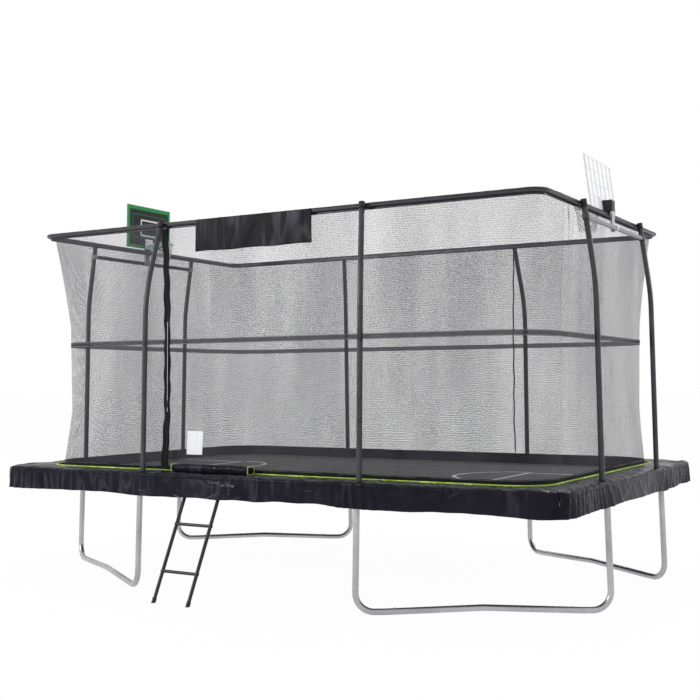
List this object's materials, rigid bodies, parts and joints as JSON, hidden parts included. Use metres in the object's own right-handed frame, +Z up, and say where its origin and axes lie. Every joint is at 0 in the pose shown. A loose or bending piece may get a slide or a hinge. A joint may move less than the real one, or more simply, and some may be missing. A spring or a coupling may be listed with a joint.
{
  "type": "trampoline",
  "caption": "Rectangular outdoor trampoline: padded frame on U legs, bent poles, zip net, end hoops with backboards, banner, step pad and hook-on ladder.",
  "frame": {"origin": "on the ground, in the middle of the footprint with the ladder in place", "axes": "+X along the long sides, to the right as seen from the entrance side; -Y towards the entrance and the ladder; +Z up"},
  "size_m": [4.6648, 3.3995, 3.0799],
  "materials": {
    "galvanised_steel": "galvanised, semi-gloss",
    "zinc_hardware": "zinc plated",
    "black_tube": "semi-gloss powder coat",
    "grey_tube": "semi-gloss powder coat",
    "black_plastic": "moulded",
    "net_mesh": "fine open mesh, see-through",
    "black_webbing": "woven webbing",
    "mat_weave": "woven polypropylene with white court lines",
    "pad_vinyl": "coated cloth over foam, glossy",
    "green_piping": "corded piping",
    "banner_cloth": "coated cloth",
    "white_card": "matt",
    "board_dark": "black with a green border",
    "board_light": "ribbed back, slightly see-through",
    "hoop_steel": "gloss white",
    "hoop_cord": "knotted cord"
  },
  "bodies": {
    "frame": {"rail_front": "galvanised_steel", "rail_back": "galvanised_steel", "rail_left": "galvanised_steel", "rail_right": "galvanised_steel", "rail_corners": "galvanised_steel", "frame_tees": "galvanised_steel", "leg_tubes_front_left": "galvanised_steel", "leg_tubes_front_right": "galvanised_steel", "leg_tubes_back_left": "galvanised_steel", "leg_tubes_back_right": "galvanised_steel", "leg_bars": "galvanised_steel", "hoop_posts": "galvanised_steel", "tee_screws": "zinc_hardware", "leg_screws": "zinc_hardware", "springs_long": "zinc_hardware", "springs_short": "zinc_hardware", "post_straps": "zinc_hardware", "lower_poles": "black_tube", "upper_poles_long": "black_tube", "upper_poles_short": "black_tube", "ring_long_tubes": "black_tube", "ring_short_tubes": "black_tube", "ring_corners": "black_tube", "crossbars": "grey_tube", "pole_caps": "black_plastic", "crossbar_clamps": "black_plastic", "board_brackets": "black_plastic", "net_front": "net_mesh", "net_back": "net_mesh", "net_left": "net_mesh", "net_right": "net_mesh", "net_corners": "net_mesh", "net_hem": "black_webbing", "net_strap": "black_webbing", "net_sleeve": "black_webbing", "entrance_strip": "black_webbing", "pad_front": "pad_vinyl", "pad_back": "pad_vinyl", "pad_left": "pad_vinyl", "pad_right": "pad_vinyl", "skirt_front": "pad_vinyl", "skirt_sides": "pad_vinyl", "step_pad": "pad_vinyl", "pad_piping": "green_piping", "banner": "banner_cloth", "blank_card": "white_card", "backboard_left": "board_dark", "backboard_right": "board_light", "hoop_rim_left": "hoop_steel", "hoop_rim_right": "hoop_steel", "hoop_net_left": "hoop_cord", "hoop_net_right": "hoop_cord"},
    "mat": {"mat": "mat_weave", "mat_webbing": "black_webbing", "mat_rings": "zinc_hardware"},
    "ladder": {"ladder_rails": "black_tube", "ladder_rungs": "black_tube", "ladder_hooks": "black_tube", "ladder_feet": "black_plastic"},
    "slider": {"zip_slider": "zinc_hardware"}
  },
  "joints": [
    {"name": "mat_bounce", "type": "slide", "parent": "frame", "child": "mat", "axis": [0, 0, -1], "range_m": [0, 0.3], "stiffness_N_per_m": 6000, "springref_m": -0.06, "deforming": ["springs_long", "springs_short"]},
    {"name": "ladder_swing", "type": "hinge", "parent": "frame", "child": "ladder", "pos_m": [-0.34, -1.30784, 0.785], "axis": [-1, 0, 0], "range_deg": [0, 45], "deforming": ["skirt_front"]},
    {"name": "zip_slide", "type": "slide", "parent": "frame", "child": "slider", "axis": [0, 0.0045, 1], "range_m": [0, 0.55]}
  ]
}
